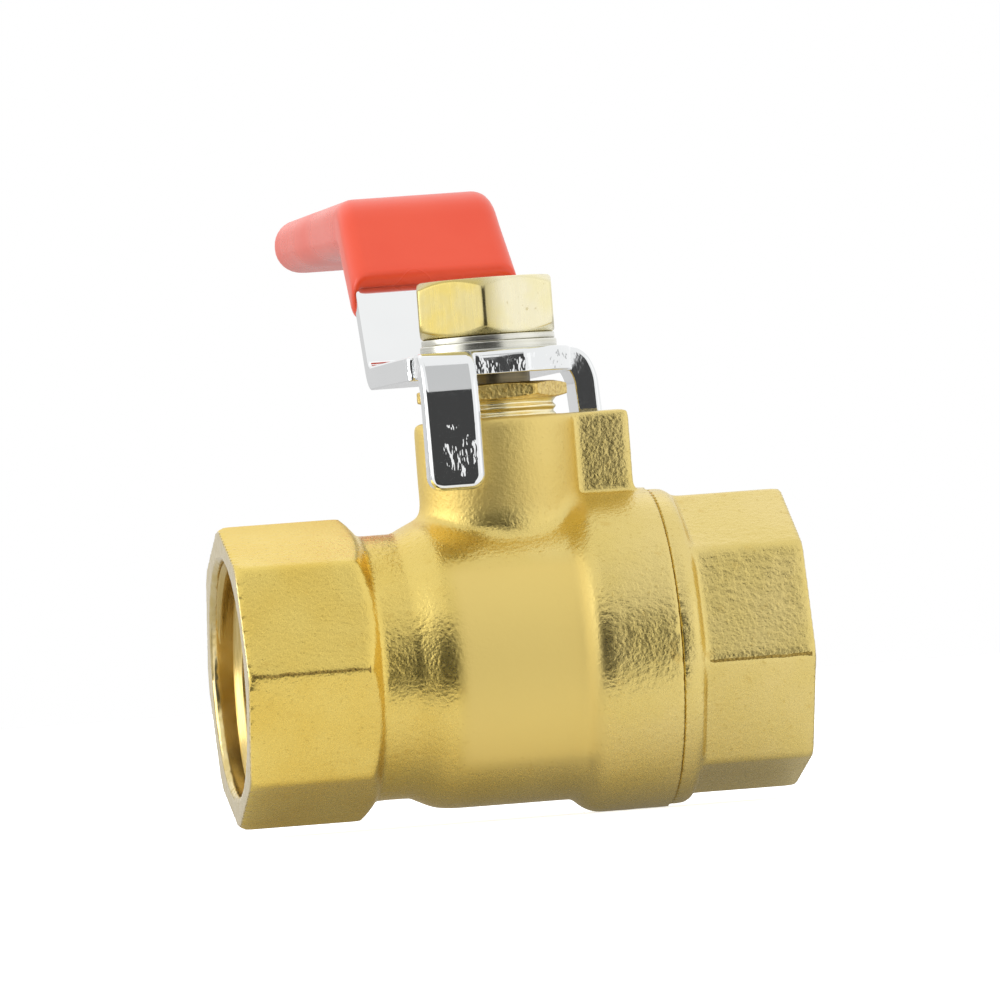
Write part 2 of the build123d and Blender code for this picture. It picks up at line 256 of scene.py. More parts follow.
# ---------------------------------------------------------------- materials
def forged_brass(name, face_x, outward):
    """Shot-blasted forging, satin gold with a fine grain, machined on one end face and in its bore.

    The front of the barrel carries a smooth matt pad, left blank."""
    n = Nodes(name)
    x, y, z = n.axes()
    tone = n.noise(170, 3)
    shot = n.noise(3000, 2, 0.5)
    fine = n.noise(5200, 2, 0.5)
    stain = n.noise(520, 4, 0.65)
    deep = n.mix(n.ramp(tone, 0.3, 0.7), rgb(0.800, 0.585, 0.135), rgb(0.830, 0.635, 0.170))
    pale = n.mix(n.ramp(tone, 0.3, 0.7), rgb(0.745, 0.590, 0.200), rgb(0.775, 0.620, 0.240))
    gold = n.mix(n.ramp(x, 4, 40), deep, pale)
    gold = n.mix(n.ramp(stain, 0.60, 0.76, 0, 0.35), gold, rgb(0.58, 0.37, 0.070))
    gold = n.mix(n.ramp(shot, 0.62, 0.76, 0, 0.40), gold, rgb(0.48, 0.33, 0.07))
    pad = n.times(n.between(x, *PAD_X, PAD_X_SOFT), n.between(z, *PAD_Z, PAD_Z_SOFT), n.ramp(y, *PAD_Y))
    gold = n.mix(pad, gold, rgb(0.83, 0.640, 0.205))
    # neck: the boss and the top of the body are painted half-way to a paler gold, as painted light, and are
    # also made rougher
    neck = n.times(n.ramp(z, *NECK_Z), n.ramp(x, *NECK_X))
    gold = n.mix(n.times(neck, 0.5), gold, rgb(0.90, 0.71, 0.26))
    radius = n.math("SQRT", n.math("ADD", n.math("POWER", y, 2), n.math("POWER", z, 2)))
    bore = n.ramp(radius, 11.0, 10.9)
    face = n.ramp(x, face_x - outward * 0.12, face_x - outward * 0.04)
    machined = n.math("MAXIMUM", face, bore)
    rings = n.noise(1.0, 2, 0.5, n.stretched((900, 900, 900)))
    turned = n.mix(n.ramp(rings, 0.3, 0.7), rgb(0.74, 0.58, 0.24), rgb(0.82, 0.68, 0.36))
    n.set(Base_Color=n.mix(machined, gold, turned), Metallic=n.mix_value(pad, 1.0, 0.35))
    blasted = n.mix_value(neck, n.ramp(fine, 0.3, 0.75, 0.26, 0.33), 0.54)
    blasted = n.mix_value(pad, blasted, 0.6)
    n.set(Roughness=n.mix_value(machined, blasted, 0.20), Specular_IOR_Level=0.2)
    grain = n.math("ADD", shot, n.times(fine, 0.3))
    shown = n.times(n.ramp(machined, 1.0, 0.0, 0.06, 1.0), n.ramp(pad, 1.0, 0.0, 0.4, 1.0))
    n.set(Normal=n.bump(grain, 0.05, shown))
    return n.mat


def turned_brass(name):
    """Cut thread flanks: bright brass with fine tool marks round the pipe axis."""
    n = Nodes(name)
    lines = n.noise(1.0, 2, 0.6, n.stretched((16000, 300, 300)))
    tint = n.mix(n.ramp(lines, 0.3, 0.7), rgb(0.66, 0.49, 0.17), rgb(0.78, 0.61, 0.27))
    n.set(Base_Color=tint, Metallic=1.0, Roughness=n.ramp(lines, 0.3, 0.7, 0.18, 0.28))
    n.set(Normal=n.bump(lines, 0.02, 0.6))
    return n.mat


def flash_brass(name):
    """Torn, tarnished metal along the forging's parting line."""
    n = Nodes(name)
    grit = n.noise(3600, 3, 0.6)
    n.set(Base_Color=n.mix(n.ramp(grit, 0.3, 0.7), rgb(0.22, 0.15, 0.04), rgb(0.50, 0.35, 0.09)))
    n.set(Metallic=1.0, Roughness=n.ramp(grit, 0.3, 0.7, 0.50, 0.35), Normal=n.bump(grit, 0.12, 1.0))
    return n.mat


def nut_brass(name):
    """Machined bar brass with cloudy olive stains; its outlet-side faces are painted pale, a painted
    reflection of bright light.
    """
    n = Nodes(name)
    x = n.axes()[0]
    lines = n.noise(1.0, 2, 0.6, n.stretched((2600, 2600, 240)))
    cloud = n.noise(260, 3, 0.55)
    tint = n.mix(n.ramp(cloud, 0.35, 0.65), rgb(0.545, 0.465, 0.215), rgb(0.58, 0.465, 0.147))
    # pale: the painted reflection of bright light on the outlet-side faces
    pale = n.mix(n.ramp(cloud, 0.35, 0.65), rgb(0.86, 0.80, 0.57), rgb(0.86, 0.79, 0.485))
    tint = n.mix(n.ramp(x, STEM_X - 1.6, STEM_X + 1.2), tint, pale)
    speck = n.ramp(n.noise(1700, 2, 0.6), 0.66, 0.76, 0, 0.5)
    tint = n.mix(speck, tint, rgb(0.50, 0.40, 0.14))
    n.set(Base_Color=tint, Metallic=1.0, Roughness=n.ramp(lines, 0.2, 0.8, 0.24, 0.32))
    n.set(Normal=n.bump(n.math("ADD", lines, n.noise(1500, 2)), 0.012, 0.5))
    return n.mat


def gland_brass(name):
    """Cast-finish brass for the packing nut, rough on its hexagon and cut on its thread."""
    n = Nodes(name)
    z = n.axes()[2]
    grit = n.noise(2600, 3, 0.6)
    rough = n.ramp(z, *GLAND_HEX_FOOT)
    base = n.mix(n.ramp(grit, 0.35, 0.7), rgb(0.90, 0.69, 0.24), rgb(0.62, 0.42, 0.11))
    n.set(Base_Color=n.mix(rough, rgb(0.95, 0.86, 0.55), base), Metallic=1.0)
    n.set(Roughness=n.mix_value(rough, 0.26, 0.32))
    n.set(Normal=n.bump(grit, 0.10, n.ramp(rough, 0.0, 1.0, 0.1, 1.0)))
    return n.mat


def dull_stem(name):
    """The stem's bar brass, coloured a dark grey-brown, with faint turning marks."""
    n = Nodes(name)
    lines = n.noise(1.0, 2, 0.6, n.stretched((80, 80, 5000)))
    n.set(Base_Color=n.mix(n.ramp(lines, 0.3, 0.7), rgb(0.20, 0.17, 0.11), rgb(0.30, 0.25, 0.15)))
    n.set(Metallic=1.0, Roughness=n.ramp(lines, 0.3, 0.7, 0.34, 0.44), Normal=n.bump(lines, 0.01, 0.5))
    return n.mat


def chrome_ball(name):
    """The ball's polished plating."""
    n = Nodes(name)
    cloud = n.noise(200, 2)
    n.set(Base_Color=n.mix(cloud, rgb(0.80, 0.81, 0.83), rgb(0.88, 0.88, 0.90)), Metallic=1.0)
    n.set(Roughness=n.ramp(cloud, 0.3, 0.7, 0.04, 0.09), Normal=n.bump(n.noise(900), 0.004, 0.5))
    return n.mat


def chrome_plate(name):
    """Bright plating over a stamping: a slow wave, torn shear marks on its cut edges and a scuff."""
    n = Nodes(name)
    x, y, z = n.axes()
    cut = n.add("ShaderNodeAttribute", attribute_name="cut_edge").outputs["Fac"]
    wave = n.noise(300, 2, 0.5)
    tears = n.noise(1.0, 2, 0.6, n.stretched((1500, 1500, 800)))
    patch = n.math("MAXIMUM", n.ramp(n.noise(520, 2), 0.44, 0.58), n.ramp(x, *TORN_FROM_X))
    strokes = n.noise(1.0, 2, 0.55, n.stretched((1700, 1700, 620)))
    scuff = n.times(
        n.between(x, STEM_X - 6.1, STEM_X - 3.5, 0.4), n.between(z, 16.6, 20.6, 0.5),
        n.ramp(y, -9.6, -9.9), n.ramp(n.noise(650, 2), 0.47, 0.53),
    )
    n.set(Base_Color=n.mix(n.ramp(n.noise(90, 2), 0.3, 0.7), rgb(0.83, 0.845, 0.85), rgb(0.87, 0.88, 0.88)))
    n.set(Metallic=1.0, Roughness=n.ramp(n.noise(2400, 2), 0.45, 0.8, 0.04, 0.09))
    slow = n.bump(wave, 0.012, 0.35)
    torn = n.bump(tears, 0.13, n.times(n.ramp(cut, 0.80, 0.98), patch, n.ramp(y, 3.0, 1.0)), slow)
    n.set(Normal=n.bump(strokes, 0.12, scuff, torn))
    return n.mat


def washer_steel(name):
    """Nickel-plated washer, slightly yellow, with fine turned lines."""
    n = Nodes(name)
    streak = n.noise(1.0, 2, 0.5, n.stretched((40, 40, 6000)))
    n.set(Base_Color=n.mix(n.ramp(streak, 0.35, 0.65), rgb(0.70, 0.69, 0.60), rgb(0.84, 0.83, 0.76)))
    n.set(Metallic=1.0, Roughness=n.ramp(streak, 0.3, 0.7, 0.24, 0.32), Normal=n.bump(streak, 0.006, 0.4))
    return n.mat


def seal_white(name):
    """Off-white soft seal, such as PTFE."""
    n = Nodes(name)
    cloud = n.noise(300, 2)
    n.set(Base_Color=n.mix(cloud, rgb(0.80, 0.80, 0.77), rgb(0.90, 0.90, 0.88)))
    n.set(Roughness=n.ramp(cloud, 0.3, 0.7, 0.38, 0.5), Normal=n.bump(n.noise(1800), 0.01, 0.5))
    return n.mat


def red_vinyl(name):
    """Dipped vinyl: glossy orange-red, its gloss slightly uneven."""
    n = Nodes(name)
    cloud = n.noise(110, 2, 0.5)
    n.set(Base_Color=n.mix(n.ramp(cloud, 0.3, 0.7), rgb(0.86, 0.062, 0.012), rgb(0.88, 0.074, 0.018)))
    n.set(Roughness=n.ramp(n.noise(70, 2), 0.3, 0.7, 0.25, 0.32), Specular_IOR_Level=0.65)
    n.set(Normal=n.bump(n.noise(75, 1), 0.04, 0.3))
    return n.mat


def give(node, mat):
    """Puts a material on a CAD node in place of what it had."""
    frame["nodes"][node].data.materials.clear()
    frame["nodes"][node].data.materials.append(mat)


def dress_cad_nodes():
    """The inner pieces keep their CAD shapes and get their materials here."""
    give("stem", dull_stem("stem_brass"))
    for node in ("inlet_seat", "outlet_seat", "thrust_washer", "lower_packing_ring", "upper_packing_ring"):
        give(node, seal_white(f"seal_white_{node}"))
    give("ball", chrome_ball("plated_ball"))


# ---------------------------------------------------------------- castings
def voxel_copy(name, node, voxel):
    """An even mesh of a CAD node, from a voxel remesh of its own shape."""
    copy = bpy.data.objects.new(name, frame["nodes"][node].data.copy())
    scene.collection.objects.link(copy)
    remesh = copy.modifiers.new("remesh", "REMESH")
    remesh.mode = "VOXEL"
    remesh.voxel_size = voxel
    bpy.context.view_layer.update()
    mesh = bpy.data.meshes.new_from_object(copy.evaluated_get(bpy.context.evaluated_depsgraph_get()))
    old = copy.data
    copy.modifiers.clear()
    copy.data = mesh
    bpy.data.meshes.remove(old)
    mesh.name = name
    return copy


def step(value, low, high):
    """0 below low, 1 above high and a straight ramp between, on arrays."""
    return np.clip((value - low) / (high - low), 0.0, 1.0)


def relax(co, edges, weight, rounds, normals=None):
    """Moves points towards their neighbours' mean, by weight; with normals, only where that wears them."""
    a, b = edges[:, 0], edges[:, 1]
    count = len(co)
    degree = np.maximum(np.bincount(a, minlength=count) + np.bincount(b, minlength=count), 1)
    for _ in range(rounds):
        total = np.stack([
            np.bincount(a, co[b, i], count) + np.bincount(b, co[a, i], count) for i in range(3)
        ], axis=1)
        move = weight[:, None] * (total / degree[:, None] - co)
        if normals is not None:
            move = normals * np.minimum((move * normals).sum(axis=1), 0.0)[:, None]
        co = co + move
    return co


def vertex_array(mesh, name):
    """A three-part attribute of the mesh's points, such as their places, as an array of rows."""
    values = np.empty(len(mesh.vertices) * 3)
    mesh.vertices.foreach_get(name, values)
    return values.reshape(-1, 3)


def move_vertices(mesh, co):
    """Moves the mesh's points to places given in millimetres."""
    mesh.vertices.foreach_set("co", (co * MM).ravel())
    mesh.update()


def make_casting(name, node, mat, face_x, outward, blend_boss, coarse):
    """The forging as blasted: edges worn round, faces slightly uneven, machined ends left true."""
    piece = voxel_copy(name, node, CASTING_VOXEL * MM)
    mesh = piece.data
    co = vertex_array(mesh, "co") / MM
    ends = np.empty(len(mesh.edges) * 2, dtype=np.int32)
    mesh.edges.foreach_get("vertices", ends)
    edges = ends.reshape(-1, 2)
    radius = np.hypot(co[:, 1], co[:, 2])
    from_stem = np.hypot(co[:, 0] - STEM_X, co[:, 1])
    boss = step(from_stem, *FORGED_BOSS_R) * step(co[:, 2], *FORGED_BOSS_Z)
    outside = np.maximum(step(radius, *FORGED_PIPE_R), boss)
    inward = (face_x - co[:, 0]) * outward
    skin = outside * step(inward, 0.05, 0.35)
    near_seam = 1 - 0.97 * (1 - step(np.abs(co[:, 0] - SEAM_X), 0.15, 0.5))
    worn = skin * near_seam
    co = relax(co, edges, 0.5 * worn, EDGE_PASSES)
    move_vertices(mesh, co)
    co = relax(co, edges, 0.5 * worn, WEAR_PASSES, vertex_array(mesh, "normal"))
    if blend_boss:
        root = (1 - step(np.abs(from_stem - BOSS_R - 0.4), 0.9, 2.2)) * (1 - step(co[:, 2], 14.6, 16.0))
        lug = step(3.6 - np.abs(co[:, 1]), 0.0, 0.8) * step(co[:, 0], STEM_X + 5.5, STEM_X + 6.5)
        co = relax(co, edges, 0.5 * skin * root * (1 - lug), ROOT_PASSES)
    move_vertices(mesh, co)
    rough = worn * coarse(co)
    swell = np.array([noise.noise(Vector(p) * 2.0) if r > 0 else 0.0 for p, r in zip(co, rough)])
    move_vertices(mesh, co + vertex_array(mesh, "normal") * (swell * rough)[:, None])
    mesh.materials.clear()
    mesh.materials.append(mat)
    mesh.polygons.foreach_set("use_smooth", [True] * len(mesh.polygons))
    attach(piece, "housing")
    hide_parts(node)


def body_roughness(co):
    """Millimetres of unevenness over the body: most on the stop lug, the ring and the neck."""
    lug = step(co[:, 0], STEM_X + 6.8, STEM_X + 7.2) * step(co[:, 2], *LUG_FOOT_Z)
    ring = step(co[:, 0], STEM_X + 6.0, STEM_X + 7.0) * (1 - step(co[:, 2], 12.0, 13.0))
    neck = step(co[:, 0], STEM_X - 14, STEM_X - 13.4) * (1 - step(co[:, 0], STEM_X - 10.5, STEM_X - 8.5))
    return 0.008 + 0.018 * lug + 0.018 * ring + 0.018 * neck


def cap_roughness(co):
    """The end cap is hammered on the facet above its parting line, and near smooth on the flange."""
    turn = math.radians(CAP_TURN)
    above = co[:, 2] * math.cos(turn) + co[:, 1] * math.sin(turn)
    upper = step(above, 0.3, 0.8) * (1 - step(above, 8.6, 9.4))
    facet = step(co[:, 0], *CAP_FACET_X) * upper * step(-co[:, 1], 0, 1)
    return 0.004 + 0.032 * facet


# ---------------------------------------------------------------- nuts and washers
def soft_min(a, b, blend):
    """The smaller of two values, rounded off where they cross."""
    near = max(blend - abs(a - b), 0.0) / blend
    return min(a, b) - near * near * blend / 4


def hex_radius(angle, flats, blend):
    """Distance from a hexagon's centre to its side, at an angle from a corner, with its corners rounded."""
    turn = math.radians((math.degrees(angle) % 60) - 30)
    side = flats / 2 / math.cos(turn)
    next_side = flats / 2 / math.cos(math.pi / 3 - abs(turn))
    return soft_min(side, next_side, blend)


def make_hexagon(name, node, flats, turn, rows, mat, body):
    """A turned and milled nut from (height, largest radius) rows; rows wider than the flats are milled."""
    around = 360
    bm = bmesh.new()
    rings = []
    for z, limit in rows:
        ring = []
        for i in range(around):
            angle = 2 * math.pi * i / around
            side = hex_radius(angle - math.radians(turn), flats, NUT_CORNER_BLEND)
            radius = soft_min(side, limit, NUT_BEVEL_BLEND)
            if limit < flats / 2 - 0.2:
                radius = limit
            ring.append(bm.verts.new((radius * math.cos(angle), radius * math.sin(angle), z)))
        rings.append(ring)
    rings.append(rings[0])
    skin_rings(bm, rings)
    bmesh.ops.recalc_face_normals(bm, faces=bm.faces)
    piece = place_mesh(name, bm, mat, body)
    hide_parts(node)


def bevel_rows(bottom, top, flats, bevel, steps):
    """Rows up a hexagon's outside: end bevel, sides, end bevel."""
    inner = flats / 2 - 0.15
    corner = flats / math.sqrt(3)
    slopes = [(bevel * i / steps, inner + (corner + 0.02 - inner) * i / steps) for i in range(steps + 1)]
    rows = [(bottom, inner - 0.12)] + [(bottom + 0.04 + rise, r) for rise, r in slopes]
    rows += [(bottom + bevel + (top - bottom - 2 * bevel) * i / 6, corner + 1) for i in range(1, 6)]
    return rows + [(top - 0.04 - rise, r) for rise, r in reversed(slopes)] + [(top, inner - 0.12)]


def make_nuts(body_mat, gland_mat):
    """The nut that holds the lever and, below it, the packing nut with its thread grooves."""
    low, high = (corner.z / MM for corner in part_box("handle_nut"))
    rows = [(low, STEM_R + 0.45), *bevel_rows(low, high, NUT_FLATS, 0.75, 12)]
    rows += [(high, STEM_R + 0.55), (high - 0.5, STEM_R + 0.02), (low + 0.4, STEM_R + 0.02)]
    make_hexagon(
        "handle_nut_bar", "handle_nut", NUT_FLATS, NUT_TURN, rows, body_mat, "lever_and_ball")
    low, high = (corner.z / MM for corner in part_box("gland_nut"))
    hex_low = high - GLAND_HEX_HEIGHT
    pitch = (hex_low - BOSS_TOP) / 2
    rows = [(low, STEM_R + 0.1), (low, GLAND_R - 0.05), (BOSS_TOP - 0.1, GLAND_R - 0.05)]
    rows += [
        (BOSS_TOP + pitch * i / 8, GLAND_R - 0.12 * (1 - math.cos(math.pi * i / 4))) for i in range(16)
    ]
    rows += [*bevel_rows(hex_low, high, GLAND_FLATS, 0.25, 5), (high, STEM_R + 0.1)]
    make_hexagon(
        "gland_nut_bar", "gland_nut", GLAND_FLATS, GLAND_TURN, rows, gland_mat, "housing")


def make_washer(name, node, inner, outer, split, lead, mat):
    """A washer with rounded edges; a split one is cut through and climbs by its lead round the turn."""
    low, high = (corner.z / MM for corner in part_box(node))
    edge = 0.1
    half = (high - low - lead) / 2
    section = [(inner, half - edge), (inner + edge, half)]
    section += [(outer - edge + x, half - edge + y) for x, y in arc_points((0, 0), edge, 90, 0, 5)]
    section += [(r, -z) for r, z in reversed(section)]
    bm = bmesh.new()
    steps = 240
    span = 360 - split
    rings = []
    for i in range(steps + (1 if split else 0)):
        angle = math.radians(100 + split / 2 + span * i / steps)
        climb = (low + high) / 2 + lead * (i / steps - 0.5)
        out = (math.cos(angle), math.sin(angle))
        rings.append([bm.verts.new((r * out[0], r * out[1], climb + z)) for r, z in section])
    if split:
        bm.faces.new(rings[0])
        bm.faces.new(rings[-1])
    else:
        rings.append(rings[0])
    skin_rings(bm, rings)
    bmesh.ops.recalc_face_normals(bm, faces=bm.faces)
    piece = place_mesh(name, bm, mat, "lever_and_ball")
    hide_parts(node)


# ---------------------------------------------------------------- lever pressing
def arc_points(centre, radius, start, end, steps):
    """Points along an arc, with the angles in degrees."""
    turns = [math.radians(start + (end - start) * i / steps) for i in range(steps + 1)]
    return [(centre[0] + radius * math.cos(a), centre[1] + radius * math.sin(a)) for a in turns]


class BentPath:
    """A strip's line at mid-thickness, from stages of (length, turn in radians)."""

    def __init__(self, start, stages):
        self.start = start
        self.stages = stages

    def at(self, s):
        """How far along and up the path has come at s, and its slope angle."""
        along, up, angle = min(s, self.start), 0.0, 0.0
        left = s - self.start
        for length, turn in self.stages:
            if left <= 0:
                break
            part = min(left / length, 1.0)
            if turn:
                radius = length / turn
                end = angle + turn * part
                along += radius * (math.sin(end) - math.sin(angle))
                up += radius * (math.cos(angle) - math.cos(end))
                angle = end
            else:
                along += length * part * math.cos(angle)
                up += length * part * math.sin(angle)
            left -= length * part
        return along, up, angle

    def bends(self, slices):
        """Places along the strip where its bends need a cut."""
        places, s = [], self.start
        for length, turn in self.stages:
            if turn:
                places += [s + length * i / slices for i in range(slices + 1)]
            s += length
        return places


FAR = 200.0
ARM_TANGENT = ARM_BEND * math.tan(SLOPE / 2)
ARM_START = ARM_FLAT_END - ARM_TANGENT
ARM_ARC = ARM_BEND * SLOPE
ARM_SLOPED = math.hypot(RISER_END - ARM_FLAT_END, RISE) - 2 * ARM_TANGENT
ARM = BentPath(ARM_START, [(ARM_ARC, SLOPE), (ARM_SLOPED, 0.0), (ARM_ARC, -SLOPE), (FAR, 0.0)])
ARM_RISER = ARM_START + ARM_ARC
ARM_GRIP = ARM_START + 2 * ARM_ARC + ARM_SLOPED
ARM_END = ARM_GRIP + REACH - RISER_END - ARM_TANGENT


def tab_path(mid_out, stages):
    """A tab's path, started so that its straight part comes down mid_out from the stem axis."""
    turned = [(radius * math.radians(turn), -math.radians(turn)) for radius, turn in stages]
    reach = BentPath(0.0, turned).at(sum(length for length, _ in turned))[0]
    return BentPath(mid_out - reach, turned + [(FAR, 0.0)])


FRONT_PATH = tab_path(TAB_MID_OUT, [(1.2, 65), (9.0, 25)])
SIDE_PATH = tab_path(TAB_MID_OUT - 0.05, [(1.2, 60), (4.0, 26)])


def arm_half(s):
    """Half the steel's width at length s along the arm."""
    t = min(max((s - ARM_START) / (ARM_GRIP - ARM_START), 0.0), 1.0)
    return ARM_HALF + (GRIP_HALF - ARM_HALF) * t


def tab_length(path):
    """Length along a tab's path at which it reaches the tabs' foot."""
    low, high = path.start, path.start + 30
    for _ in range(40):
        middle = (low + high) / 2
        if path.at(middle)[1] > TAB_BOTTOM - PLATE_MID:
            low = middle
        else:
            high = middle
    return low


def fold(point, normal):
    """Folds a point of the flat blank, and its normal: x across, y along the arm, z up from mid-plate."""
    x, y, lift = point
    if y < -FRONT_PATH.start and x < FRONT_TAB[1] + 0.3:
        out, down, turn = FRONT_PATH.at(-y)
        place = Vector((x, -out - lift * math.sin(-turn), PLATE_MID + down + lift * math.cos(turn)))
        return place, Matrix.Rotation(-turn, 3, "X") @ normal
    if x > SIDE_PATH.start and SIDE_TAB[0] - 0.3 < y < SIDE_TAB[1] + 0.3:
        out, down, turn = SIDE_PATH.at(x)
        place = Vector((out + lift * math.sin(-turn), y, PLATE_MID + down + lift * math.cos(turn)))
        return place, Matrix.Rotation(-turn, 3, "Y") @ normal
    along, rise, slope = ARM.at(y)
    place = Vector((x, along - lift * math.sin(slope), PLATE_MID + rise + lift * math.cos(slope)))
    return place, Matrix.Rotation(slope, 3, "X") @ normal


def round_corners(corners):
    """Points of a closed outline, each (x, y, radius) corner turned into an arc."""
    points = []
    count = len(corners)
    for i, (x, y, radius) in enumerate(corners):
        here = Vector((x, y))
        if radius == 0:
            points.append((x, y))
            continue
        back = (Vector(corners[i - 1][:2]) - here).normalized()
        ahead = (Vector(corners[(i + 1) % count][:2]) - here).normalized()
        half = back.angle(ahead) / 2
        centre = here + (back + ahead).normalized() * radius / math.sin(half)
        first = here + back * radius / math.tan(half) - centre
        sweep = first.angle_signed(here + ahead * radius / math.tan(half) - centre)
        for k in range(9):
            point = centre + Matrix.Rotation(-sweep * k / 8, 2) @ first
            points.append((point.x, point.y))
    return points


def blank_outline():
    """The pressing's flat outline, anticlockwise from the foot of the front tab."""
    front_foot, side_foot = -tab_length(FRONT_PATH), tab_length(SIDE_PATH)
    low, high = FRONT_TAB
    near, far = SIDE_TAB
    tip = ARM_END - GRIP_HALF
    inner = 0.25
    head = arc_points((0, 0), HEAD_R, -52, math.degrees(math.asin(near / HEAD_R)) - 3, 24)
    corners = [(low, front_foot, TAB_CORNER), (high, front_foot, TAB_CORNER), (high, -HEAD_R, inner)]
    corners += [(HEAD_CORNER, -HEAD_R, 1.2), *((x, y, 0) for x, y in head)]
    corners += [(SIDE_PATH.start - 0.5, near, inner)]
    corners += [(side_foot, near, TAB_CORNER), (side_foot, far, TAB_CORNER)]
    corners += [(ARM_HALF, far, inner), (ARM_HALF, ARM_START, 0), (GRIP_HALF, ARM_GRIP, 0)]
    corners += [(x, y, 0) for x, y in arc_points((0, tip), GRIP_HALF, 0, 180, 40)]
    corners += [(-GRIP_HALF, ARM_GRIP, 0), (-ARM_HALF, ARM_START, 0), (-ARM_HALF, NOTCH_START, 0.5)]
    corners += [(NOTCH_SIDE, NOTCH_START, 0.4), (NOTCH_SIDE, TAB_ROOT_Y, 0.3), (low, TAB_ROOT_Y, 0.5)]
    return round_corners(corners)


def stem_hole():
    """The two-flat hole that the stem drives, clockwise."""
    radius, flat = 3.52, 2.52
    corner = math.degrees(math.acos(flat / radius))
    upper = arc_points((0, 0), radius, corner, 180 - corner, 16)
    return (upper + arc_points((0, 0), radius, 180 + corner, 360 - corner, 16))[::-1]


def edge_profile(rolled):
    """(inset, height, normal tilt) up the blank's edge: burr side, sheared wall, rolled side."""
    rows = []
    for i in range(4):
        a = math.pi / 2 * (1 - i / 3)
        rows.append((BURR_ROUND * (1 - math.cos(a)), BURR_ROUND * (1 - math.sin(a)) - PLATE / 2, -a))
    for i in range(9):
        a = math.pi / 2 * i / 8
        rows.append((rolled * (1 - math.cos(a)), PLATE / 2 - rolled * (1 - math.sin(a)), a))
    return rows


def outward(points):
    """The outward direction at each point of an outline that keeps the metal on its left."""
    sides = []
    for (x0, y0), (x1, y1) in zip(points, points[1:] + points[:1]):
        sides.append(Vector((y1 - y0, x0 - x1)).normalized())
    return [(sides[i - 1] + sides[i]).normalized() for i in range(len(points))]


def make_blank():
    """The flat blank as a bmesh, its points carrying their true normals and their share of cut edge."""
    bm = bmesh.new()
    facing = bm.verts.layers.float_vector.new("facing")
    cut = bm.verts.layers.float.new("cut_edge")
    caps = {0: [], -1: []}
    tab_profile, arm_profile = edge_profile(TAB_ROUND), edge_profile(ARM_ROUND)
    for points in (blank_outline(), stem_hole()):
        columns = []
        for (x, y), side in zip(points, outward(points)):
            on_tab = y < 0.5 - HEAD_R or x > SIDE_PATH.start
            column = []
            for inset, height, tilt in tab_profile if on_tab else arm_profile:
                v = bm.verts.new((x - side.x * inset, y - side.y * inset, height))
                v[facing] = Vector((side.x * math.cos(tilt), side.y * math.cos(tilt), math.sin(tilt)))
                v[cut] = math.cos(tilt)
                column.append(v)
            columns.append(column)
        rows = [list(row) for row in zip(*columns)]
        skin_rings(bm, rows)
        for end in caps:
            caps[end].append(rows[end])
    for loops in caps.values():
        verts = [v for loop in loops for v in loop]
        for triangle in tessellate_polygon([[v.co.copy() for v in loop] for loop in loops]):
            bm.faces.new([verts[i] for i in triangle])
    bmesh.ops.recalc_face_normals(bm, faces=bm.faces)
    return bm, facing, cut


def make_lever(mat):
    """The lever: its flat blank, cut where it bends, then folded along the arm and both tabs."""
    bm, facing, cut = make_blank()

    def slice_at(place, normal):
        bmesh.ops.bisect_plane(
            bm, geom=bm.verts[:] + bm.edges[:] + bm.faces[:], plane_co=place, plane_no=normal, dist=1e-5)

    for s in FRONT_PATH.bends(12):
        slice_at((0, -s, 0), (0, 1, 0))
    for s in SIDE_PATH.bends(12):
        slice_at((s, 0, 0), (1, 0, 0))
    for s in ARM.bends(16):
        slice_at((0, s, 0), (0, 1, 0))
    edge_marks = [v[cut] for v in bm.verts]
    folded = [fold(v.co, v[facing].normalized()) for v in bm.verts]
    for v, (place, _) in zip(bm.verts, folded):
        v.co = place
    piece = place_mesh("lever_pressing", bm, mat, "lever_and_ball")
    piece.data.normals_split_custom_set_from_vertices([normal for _, normal in folded])
    marks = piece.data.attributes.get("cut_edge") or piece.data.attributes.new("cut_edge", "FLOAT", "POINT")
    marks.data.foreach_set("value", edge_marks)
    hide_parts("handle_lever")


def place_mesh(name, bm, mat, body):
    """Links a bmesh in millimetres about the stem axis as a piece that rides on a body."""
    for v in bm.verts:
        v.co = v.co * MM + Vector((STEM.x, STEM.y, 0))
    mesh = bpy.data.meshes.new(name)
    bm.to_mesh(mesh)
    bm.free()
    mesh.materials.append(mat)
    for poly in mesh.polygons:
        poly.use_smooth = True
    piece = bpy.data.objects.new(name, mesh)
    scene.collection.objects.link(piece)
    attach(piece, body)
    return piece


def skin_rings(bm, rings):
    """Quads between neighbouring closed rings of points."""
    around = len(rings[0])
    for a, b in zip(rings, rings[1:]):
        for i in range(around):
            j = (i + 1) % around
            bm.faces.new((a[i], a[j], b[j], b[i]))


# ---------------------------------------------------------------- sleeve
def sleeve_ring(s, half, over, under, corner, shift, skew):
    """One rounded section of the sleeve: over and under count from mid-steel, skew trails the underside."""
    y, rise, slope = ARM.at(s)
    z = PLATE_MID + rise
    ring = []
    for cx, cw, start in ((half, over, 0), (-half, over, 90), (-half, -under, 180), (half, -under, 270)):
        centre = (cx - math.copysign(corner, cx), cw - math.copysign(corner, cw))
        for x, w in arc_points(centre, corner, start, start + 90, 8):
            back = skew * max(over - w, 0.0) / (over + under)
            ring.append(Vector((
                x + shift,
                y - w * math.sin(slope) - back * math.cos(slope),
                z + w * math.cos(slope) - back * math.sin(slope),
            )))
    return ring


